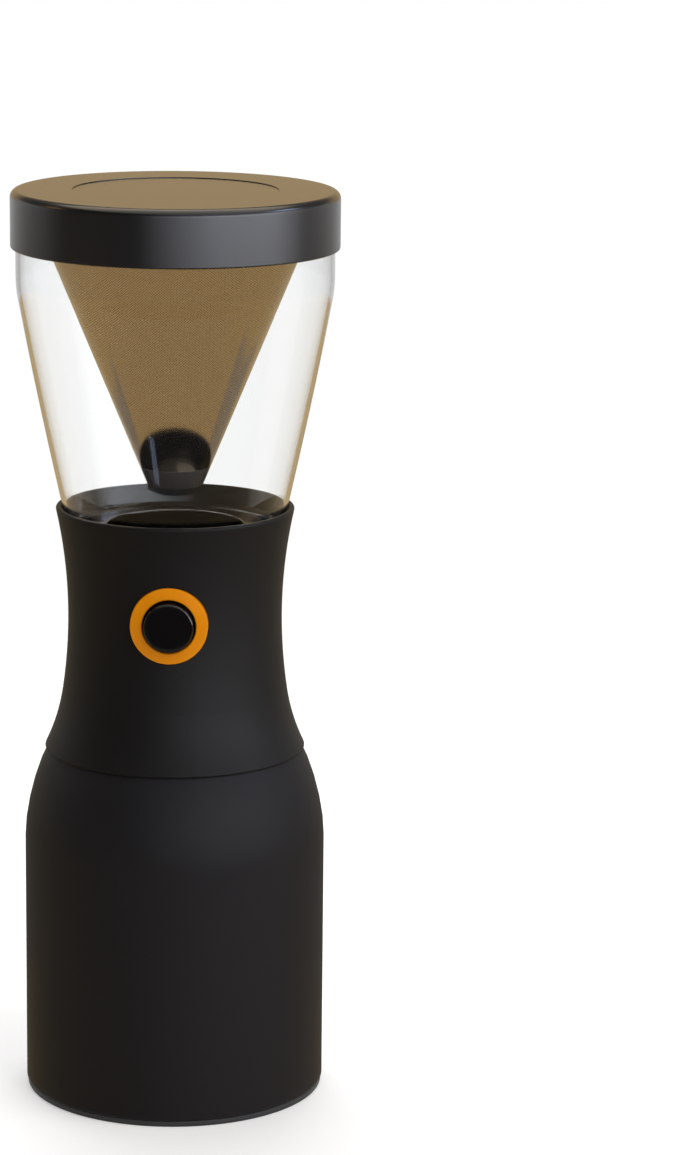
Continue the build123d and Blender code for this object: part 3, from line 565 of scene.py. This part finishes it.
button = {"dome": 0.15, "domeSteps": 5, "edgeRound": 0.6, "backRound": 0.3, "wall": 1.7, "face": 2.95,
          "postReach": 4.2, "postBore": 3.05, "postLength": 6.2, "postRound": 0.2, "rootRound": 0.6}
buttonRadius, buttonFront, buttonBack = depthOf("button_cap")
buttonOutline = []
for step in range(button["domeSteps"] + 1):
    share = step / button["domeSteps"]
    buttonOutline.append((buttonRadius * share, buttonFront + button["dome"] * share ** 2))
buttonOutline[-1] += (button["edgeRound"],)
hollow = buttonFront + button["face"]
postEnd = hollow + button["postLength"]
innerWall = buttonRadius - button["wall"]
buttonOutline += [
    (buttonRadius, buttonBack, button["backRound"]), (innerWall, buttonBack, button["backRound"]),
    (innerWall, hollow, button["rootRound"]), (button["postReach"], hollow, button["rootRound"]),
    (button["postReach"], postEnd, button["postRound"]), (button["postBore"], postEnd, button["postRound"]),
    (button["postBore"], hollow), (0, hollow)]
buttonCap = spinOutline(drawOutline(buttonOutline))
layOnButtonAxis(buttonCap)
placePiece(buttonCap, "button_cap", glossBlack)

dressNode("push_rod", mouldedPlastic)
dressNode("rod_clip", brushedSteel)
dressNode("valve_stem", mouldedPlastic)
dressNode("valve_plug", silicone)

# Each spring is wound to fill its node's box, on that node's body; the joint and travel in its entry are not
# used
springs = {
    "button_spring": {"coil": 5.2, "wire": 0.45, "turns": 6, "joint": "button_press", "travel": 5.0},
    "valve_spring": {"coil": 4.7, "wire": 0.3, "turns": 3, "joint": "valve_lift", "travel": 3.0}}
winding = {"stepsPerTurn": 40, "wireSides": 12}
for node, spring in springs.items():
    low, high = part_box(node)
    layBack = node == "button_spring"       # wound upright like the other, then laid on the button's axis
    start, end = (low.y, high.y) if layBack else (low.z, high.z)
    wire = spring["wire"] * mm
    steps = spring["turns"] * winding["stepsPerTurn"]
    coil = bmesh.new()
    bmesh.ops.create_circle(coil, segments=winding["wireSides"], radius=wire)
    bmesh.ops.rotate(coil, verts=coil.verts[:], matrix=Matrix.Rotation(math.radians(90), 3, "X"))
    bmesh.ops.translate(coil, verts=coil.verts[:], vec=(spring["coil"] * mm, 0, start + wire))
    bmesh.ops.spin(coil, geom=coil.verts[:] + coil.edges[:], cent=(0, 0, 0), axis=(0, 0, 1),
                   dvec=(0, 0, (end - start - 2 * wire) / steps), angle=spring["turns"] * math.tau,
                   steps=steps, use_merge=False, use_duplicate=False)
    bmesh.ops.holes_fill(coil, edges=[edge for edge in coil.edges if edge.is_boundary], sides=0)
    bmesh.ops.recalc_face_normals(coil, faces=coil.faces[:])
    if layBack:
        layOnButtonAxis(coil)
    piece = placePiece(coil, node, springWire)
    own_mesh(piece)
print("button and valve built")


# Filter: perforated cone, its rim and its tip

cone = {"sheet": 0.6, "lowReach": 13.23, "bandDrop": 5.6, "bandRound": 3.0}
coneRadius, coneLow, coneTop = reachOf("filter_cone")
bandHeight = coneTop - cone["bandDrop"]
coneSlope = (coneRadius - cone["lowReach"]) / (bandHeight - coneLow)
coneSheet = spinOutline(drawOutline([
    (cone["lowReach"], coneLow), (coneRadius, bandHeight, cone["bandRound"]), (coneRadius, coneTop)],
    closed=False))
bmesh.ops.solidify(coneSheet, geom=coneSheet.faces[:], thickness=cone["sheet"] * mm)


def unrollCone(bm):
    # The sheet is laid flat again, in millimetres, so that the holes keep their spacing all the way down
    spread = math.sin(math.atan(coneSlope))
    flat = bm.loops.layers.uv.new("sheet")
    for face in bm.faces:
        middle = face.calc_center_median()
        faceTurn = math.atan2(middle.x, -middle.y)
        for loop in face.loops:
            x, y, z = loop.vert.co
            turn = math.remainder(math.atan2(x, -y) - faceTurn, math.tau) + faceTurn
            reach = math.hypot(x, y) / mm / spread
            if z / mm > bandHeight:
                reach += z / mm - bandHeight
            loop[flat].uv = (reach * math.sin(turn * spread), reach * math.cos(turn * spread))


unrollCone(coneSheet)
placePiece(coneSheet, "filter_cone", perforatedSteel)

tip = {"faceRound": 0.4, "rimRound": 0.2, "spigot": 4.0, "spigotInset": 0.75, "spigotRound": 0.3,
       "bore": 7.5, "boreRound": 0.4, "floor": 2.5, "floorRound": 1.0}
tipLow = reachOf("filter_tip")[1]
tipFloor = tipLow + tip["floor"]
spigotReach = cone["lowReach"] - tip["spigotInset"]
spigotTop = coneLow + tip["spigot"]
placePiece(spinOutline(drawOutline([
    (0, tipLow), (cone["lowReach"] - coneSlope * (coneLow - tipLow), tipLow, tip["faceRound"]),
    (cone["lowReach"], coneLow, tip["rimRound"]),
    (spigotReach, coneLow), (spigotReach + coneSlope * tip["spigot"], spigotTop, tip["spigotRound"]),
    (tip["bore"], spigotTop, tip["boreRound"]), (tip["bore"], tipFloor, tip["floorRound"]),
    (0, tipFloor)])), "filter_tip", blackAbsPaintedReflection)

rim = {"gap": 0.2, "ring": 1.4, "flange": 1.6, "skirtInset": 1.5, "skirt": 1.2, "skirtHeight": 8.0,
       "edgeRound": 0.35, "topRound": 0.6}
rimRadius, rimTop = reachOf("filter_rim")[::2]
ringReach = coneRadius + rim["gap"]
skirtReach = rimRadius - rim["skirtInset"]
flangeLow = rimTop - rim["flange"]
edge = rim["edgeRound"]
placePiece(spinOutline(drawOutline([
    (ringReach, bandHeight, edge), (ringReach + rim["ring"], bandHeight, edge),
    (ringReach + rim["ring"], flangeLow, edge), (skirtReach - rim["skirt"], flangeLow, edge),
    (skirtReach - rim["skirt"], flangeLow - rim["skirtHeight"], edge),
    (skirtReach, flangeLow - rim["skirtHeight"], edge), (skirtReach, flangeLow, edge),
    (rimRadius, flangeLow, edge), (rimRadius, rimTop, rim["topRound"]), (ringReach, rimTop, edge)])),
    "filter_rim", brushedSteel)
print("filter built")


# Lid, with a flat disc let into its top

lid = {"wall": 1.6, "edgeRound": 2.75, "hemRound": 0.6, "topThick": 3.3, "innerRound": 1.0,
       "mouthRound": 0.4, "recessGap": 0.03, "recessRound": 0.12, "inlayRound": 0.1, "inlayFootRound": 0.2}
lidRadius, lidLow, lidTop = reachOf("lid_cap")
inlayRadius, inlayLow, inlayTop = reachOf("lid_inlay")
recess = inlayRadius + lid["recessGap"]
ceiling = lidTop - lid["topThick"]
lidBore = lidRadius - lid["wall"]
placePiece(spinOutline(drawOutline([
    (0, ceiling), (lidBore, ceiling, lid["innerRound"]), (lidBore, lidLow, lid["mouthRound"]),
    (lidRadius, lidLow, lid["hemRound"]), (lidRadius, lidTop, lid["edgeRound"]),
    (recess, lidTop, lid["recessRound"]), (recess, inlayLow), (0, inlayLow)])), "lid_cap", satinAbs)
placePiece(spinOutline(drawOutline([
    (0, inlayLow), (inlayRadius, inlayLow, lid["inlayFootRound"]),
    (inlayRadius, inlayTop, lid["inlayRound"]), (0, inlayTop)])),
    "lid_inlay", satinAbs)
dressNode("lid_liner", mouldedPlastic)
print("lid built")


# Floor, cards, lamps and camera
floorSizes = {"radius": 1.2, "solidTo": 0.35, "clearFrom": 0.95, "glow": 0.27}      # metres, but for the glow


def makeFloorMaterial():
    # White paper that fades into the white world, so that only the object's shadow shows on it
    material, tree, shader = newMaterial("studioPaper", {
        "Base Color": hexColour("f2f2f2"), "Roughness": 0.9, "Specular IOR Level": 0.1})
    path = addNode(tree, "ShaderNodeLightPath")
    seen = addNode(tree, "ShaderNodeMath", {
        0: path.outputs["Is Camera Ray"], 1: path.outputs["Is Glossy Ray"]}, operation="MAXIMUM")
    seen = addNode(tree, "ShaderNodeMath", {
        0: seen.outputs["Value"], 1: path.outputs["Is Transmission Ray"]}, operation="MAXIMUM")
    glow = addNode(tree, "ShaderNodeMath", {
        0: seen.outputs["Value"], 1: floorSizes["glow"]}, operation="MULTIPLY")
    tree.links.new(glow.outputs["Value"], shader.inputs["Emission Strength"])
    shader.inputs["Emission Color"].default_value = (1, 1, 1, 1)
    place = addNode(tree, "ShaderNodeTexCoord").outputs["Object"]
    away = addNode(tree, "ShaderNodeVectorMath", {0: place}, operation="LENGTH")
    fade = addNode(tree, "ShaderNodeMapRange", {
        "Value": away.outputs["Value"],
        "From Min": floorSizes["solidTo"], "From Max": floorSizes["clearFrom"]},
        interpolation_type="SMOOTHSTEP")
    clear = addNode(tree, "ShaderNodeBsdfTransparent")
    paper = addNode(tree, "ShaderNodeMixShader", {
        0: fade.outputs["Result"], 1: shader.outputs["BSDF"], 2: clear.outputs["BSDF"]})
    tree.links.new(paper.outputs["Shader"], tree.nodes["Material Output"].inputs["Surface"])
    return material


def addStageMesh(bm, name, material):
    mesh = bpy.data.meshes.new(name)
    bm.to_mesh(mesh)
    bm.free()
    mesh.materials.append(material)
    item = bpy.data.objects.new(name, mesh)
    bpy.context.scene.collection.objects.link(item)
    return item


floorDisc = bmesh.new()
bmesh.ops.create_circle(floorDisc, cap_ends=True, segments=96, radius=floorSizes["radius"])
addStageMesh(floorDisc, "studioFloor", makeFloorMaterial())


# The studio as the object mirrors it: cards round it, in metres, which only reflected rays see.
# A stop is (degrees round the upright axis, colour, level): 0 is in front, and positive is to the right.
room = {"reach": 1.6, "top": 2.0, "brightTo": 0.5, "darkFrom": 0.85, "darkShare": 0.15, "tableBore": 0.058,
        "tableLift": 0.0015, "skirtingReach": 1.55, "skirtingTop": 0.108, "peak": 8.0, "sides": 96}
wallStops = [                       # a pale room, a dark screen on the left and the key softbox on the right
    (-180, "f5f5f5", 0.8), (-100, "f5f5f5", 0.8), (-80, "f5f5f5", 0.1), (-20, "f5f5f5", 0.1),
    (32, "f0f4ff", 6.0), (72, "f0f4ff", 6.0), (100, "f5f5f5", 0.8), (180, "f5f5f5", 0.8)]
skirtingStops = [
    (-180, "f4f6fa", 0.9), (-150, "f6f2ee", 0.5), (-110, "ffffff", 0.15), (110, "ffffff", 0.15),
    (150, "f6f2ee", 0.5), (180, "f4f6fa", 0.9)]
ceilingStops = [
    (-180, "f0e2cc", 3.6), (-100, "f0e2cc", 2.8), (-60, "f2ece4", 1.5), (60, "f2f0f0", 1.6),
    (100, "f0e2cc", 2.8), (180, "f0e2cc", 3.6)]
tableStops = [(-180, "c0a880", 0.9), (180, "c0a880", 0.9)]      # light oak, the same all round


def makeRoomMaterial(name, stops, shadeUpwards):
    material = bpy.data.materials.new(name)
    material.use_nodes = True
    tree = material.node_tree
    tree.nodes.clear()
    place = addNode(tree, "ShaderNodeTexCoord").outputs["Object"]
    axes = addNode(tree, "ShaderNodeSeparateXYZ", {"Vector": place})
    ahead = addNode(tree, "ShaderNodeMath", {0: axes.outputs["Y"], 1: -1.0}, operation="MULTIPLY")
    turn = addNode(tree, "ShaderNodeMath", {
        0: axes.outputs["X"], 1: ahead.outputs["Value"]}, operation="ARCTAN2")
    share = addNode(tree, "ShaderNodeMapRange", {
        "Value": turn.outputs["Value"], "From Min": -math.pi, "From Max": math.pi})
    ramp = addNode(tree, "ShaderNodeValToRGB", {"Fac": share.outputs["Result"]})
    elements = ramp.color_ramp.elements
    for number, (angle, colour, level) in enumerate(stops):
        position = (angle + 180) / 360
        if number == 0:
            element = elements[0]
        elif number == len(stops) - 1:
            element = elements[-1]
        else:
            element = elements.new(position)
        element.position = position
        element.color = [part * level / room["peak"] for part in hexColour(colour)[:3]] + [1]
    light = addNode(tree, "ShaderNodeEmission", {"Color": ramp.outputs["Color"], "Strength": room["peak"]})
    if shadeUpwards:
        shade = addNode(tree, "ShaderNodeMapRange", {
            "Value": axes.outputs["Z"], "From Min": room["brightTo"], "From Max": room["darkFrom"],
            "To Min": room["peak"], "To Max": room["peak"] * room["darkShare"]},
            interpolation_type="SMOOTHSTEP")
        tree.links.new(shade.outputs["Result"], light.inputs["Strength"])
    # The card isn't seen straight through the clear vessel, but a reflection that leaves the vessel meets it
    path = addNode(tree, "ShaderNodeLightPath")
    mirrored = addNode(tree, "ShaderNodeMath", {
        0: path.outputs["Glossy Depth"], 1: 0.5}, operation="GREATER_THAN")
    clear = addNode(tree, "ShaderNodeBsdfTransparent")
    card = addNode(tree, "ShaderNodeMixShader", {
        0: mirrored.outputs["Value"], 1: clear.outputs["BSDF"], 2: light.outputs["Emission"]})
    addNode(tree, "ShaderNodeOutputMaterial", {"Surface": card.outputs["Shader"]})
    material.cycles.emission_sampling = "NONE"
    return material


def addCard(name, bm, stops, shadeUpwards=False):
    card = addStageMesh(bm, name, makeRoomMaterial(name, stops, shadeUpwards))
    card.visible_camera = False
    card.visible_diffuse = False
    card.visible_shadow = False
    card.visible_volume_scatter = False
    return card


def roundWall(radius, height):
    bm = bmesh.new()
    bmesh.ops.create_circle(bm, segments=room["sides"], radius=radius)
    raised = bmesh.ops.extrude_edge_only(bm, edges=bm.edges[:])
    upper = [item for item in raised["geom"] if isinstance(item, bmesh.types.BMVert)]
    bmesh.ops.translate(bm, verts=upper, vec=(0, 0, height))
    return bm


addCard("roomWall", roundWall(room["reach"], room["top"]), wallStops, shadeUpwards=True)
addCard("roomSkirting", roundWall(room["skirtingReach"], room["skirtingTop"]), skirtingStops)

roomCeiling = bmesh.new()
bmesh.ops.create_circle(roomCeiling, cap_ends=True, segments=room["sides"], radius=room["reach"])
bmesh.ops.translate(roomCeiling, verts=roomCeiling.verts[:], vec=(0, 0, room["top"]))
addCard("roomCeiling", roomCeiling, ceilingStops)

roomTable = bmesh.new()
bmesh.ops.create_circle(roomTable, segments=room["sides"], radius=room["reach"])
inwards = bmesh.ops.extrude_edge_only(roomTable, edges=roomTable.edges[:])
bmesh.ops.scale(roomTable, verts=[item for item in inwards["geom"] if isinstance(item, bmesh.types.BMVert)],
                vec=(room["tableBore"] / room["reach"], room["tableBore"] / room["reach"], 1))
bmesh.ops.translate(roomTable, verts=roomTable.verts[:], vec=(0, 0, room["tableLift"]))
addCard("roomTable", roomTable, tableStops)

# Flat cards: three cloths on the table, the backdrop that the lid mirrors, a window, a thin strip and a lamp
flatCards = {
    "frontCloth": ([(-0.8, -1.54, 0.003), (0.8, -1.54, 0.003), (0.8, -0.6, 0.003), (-0.8, -0.6, 0.003)],
                   "ffffff", 0.04),
    "nearCloth": ([(-0.45, -0.6, 0.003), (0.45, -0.6, 0.003), (0.45, -0.36, 0.003), (-0.45, -0.36, 0.003)],
                  "f0e8e8", 0.3),
    "backCloth": ([(-0.4, 0.1, 0.003), (0.4, 0.1, 0.003), (0.4, 0.55, 0.003), (-0.4, 0.55, 0.003)],
                  "e6d8c8", 0.4),
    "strawBackdrop": ([(-1.0, 1.2, 0.3), (1.0, 1.2, 0.3), (1.0, 1.2, 0.8), (-1.0, 1.2, 0.8)], "e7c895", 1.0),
    "windowCard": ([(1.5, -0.3, 0.95), (1.5, 0.3, 0.95), (1.5, 0.3, 1.4), (1.5, -0.3, 1.4)], "cbdcff", 7.5),
    "stripCard": ([(-0.066, -0.235, 0.102), (-0.046, -0.235, 0.102), (-0.062, -0.235, 0.128),
                   (-0.082, -0.235, 0.128)], "c8d4f4", 4.0),
    "warmLampCard": ([(-1.5, -0.1, 0.8), (-1.5, 0.25, 0.8), (-1.5, 0.25, 1.1), (-1.5, -0.1, 1.1)],
                     "ffc27a", 3.0)}
for name, (corners, colour, level) in flatCards.items():
    card = bmesh.new()
    card.faces.new([card.verts.new(corner) for corner in corners])
    addCard(name, card, [(-180, colour, level), (180, colour, level)])


def addSoftbox(name, azimuth, elevation, distance, width, height, power, colour):
    # Azimuth 0 is in front of the object (-Y), positive to the right; it is aimed at the object's middle
    middle = Vector((0, 0, 0.17))
    a, e = math.radians(azimuth), math.radians(elevation)
    towards = Vector((math.sin(a) * math.cos(e), -math.cos(a) * math.cos(e), math.sin(e)))
    lamp = bpy.data.lights.new(name, "AREA")
    lamp.shape = "RECTANGLE"
    lamp.size = width
    lamp.size_y = height
    lamp.energy = power
    lamp.color = hexColour(colour)[:3]
    item = bpy.data.objects.new(name, lamp)
    item.location = middle + towards * distance
    item.rotation_euler = towards.to_track_quat("Z", "Y").to_euler()
    item.visible_glossy = False     # the cards stand for it in reflections
    bpy.context.scene.collection.objects.link(item)


# Azimuth, elevation, distance, width, height, power and colour
softboxes = {
    "keyBox": (52, 42, 1.3, 1.2, 1.0, 9.5, "fffdfb"),
    "fillBox": (-100, 22, 1.5, 0.8, 1.2, 1.4, "fff4e8"),
    "topBox": (190, 58, 1.5, 1.2, 1.2, 15.5, "ffffff")}
for name, values in softboxes.items():
    addSoftbox(name, *values)


def setWorld(dim):
    # White where it is seen, and dimmer where it only lights the object
    world = bpy.data.worlds.new("whiteStudio")
    bpy.context.scene.world = world
    world.use_nodes = True
    tree = world.node_tree
    back = tree.nodes["Background"]
    back.inputs["Color"].default_value = (1, 1, 1, 1)
    path = addNode(tree, "ShaderNodeLightPath")
    seen = addNode(tree, "ShaderNodeMath", {
        0: path.outputs["Is Camera Ray"], 1: path.outputs["Is Glossy Ray"]}, operation="MAXIMUM")
    seen = addNode(tree, "ShaderNodeMath", {
        0: seen.outputs["Value"], 1: path.outputs["Is Transmission Ray"]}, operation="MAXIMUM")
    level = addNode(tree, "ShaderNodeMapRange", {
        "Value": seen.outputs["Value"], "To Min": dim, "To Max": 1.0})
    tree.links.new(level.outputs["Result"], back.inputs["Strength"])


setWorld(0.36)

# The picture is 679 by 1155 pixels; the lens is in millimetres for a 36 mm sensor on its long side
shot = {"imageHeight": 1155, "focalPixels": 3946, "distance": 1.442, "height": 0.5165, "pitch": 12.5,
        "azimuth": 3.2, "yaw": 2.442, "roll": 0.60}
camera = bpy.data.cameras.new("camera")
camera.sensor_width = 36
camera.lens = camera.sensor_width * shot["focalPixels"] / shot["imageHeight"]
cameraObject = bpy.data.objects.new("camera", camera)
turn = math.radians(shot["azimuth"])
cameraObject.location = (
    shot["distance"] * math.sin(turn), -shot["distance"] * math.cos(turn), shot["height"])
aim = Matrix.Rotation(math.radians(shot["azimuth"] - shot["yaw"]), 4, "Z")
aim = aim @ Matrix.Rotation(math.radians(90 - shot["pitch"]), 4, "X")
aim = aim @ Matrix.Rotation(math.radians(shot["roll"]), 4, "Z")
cameraObject.rotation_euler = aim.to_euler()
bpy.context.scene.collection.objects.link(cameraObject)
bpy.context.scene.camera = cameraObject
bpy.context.scene.view_settings.view_transform = "Standard"
print("stage, lamps and camera set")
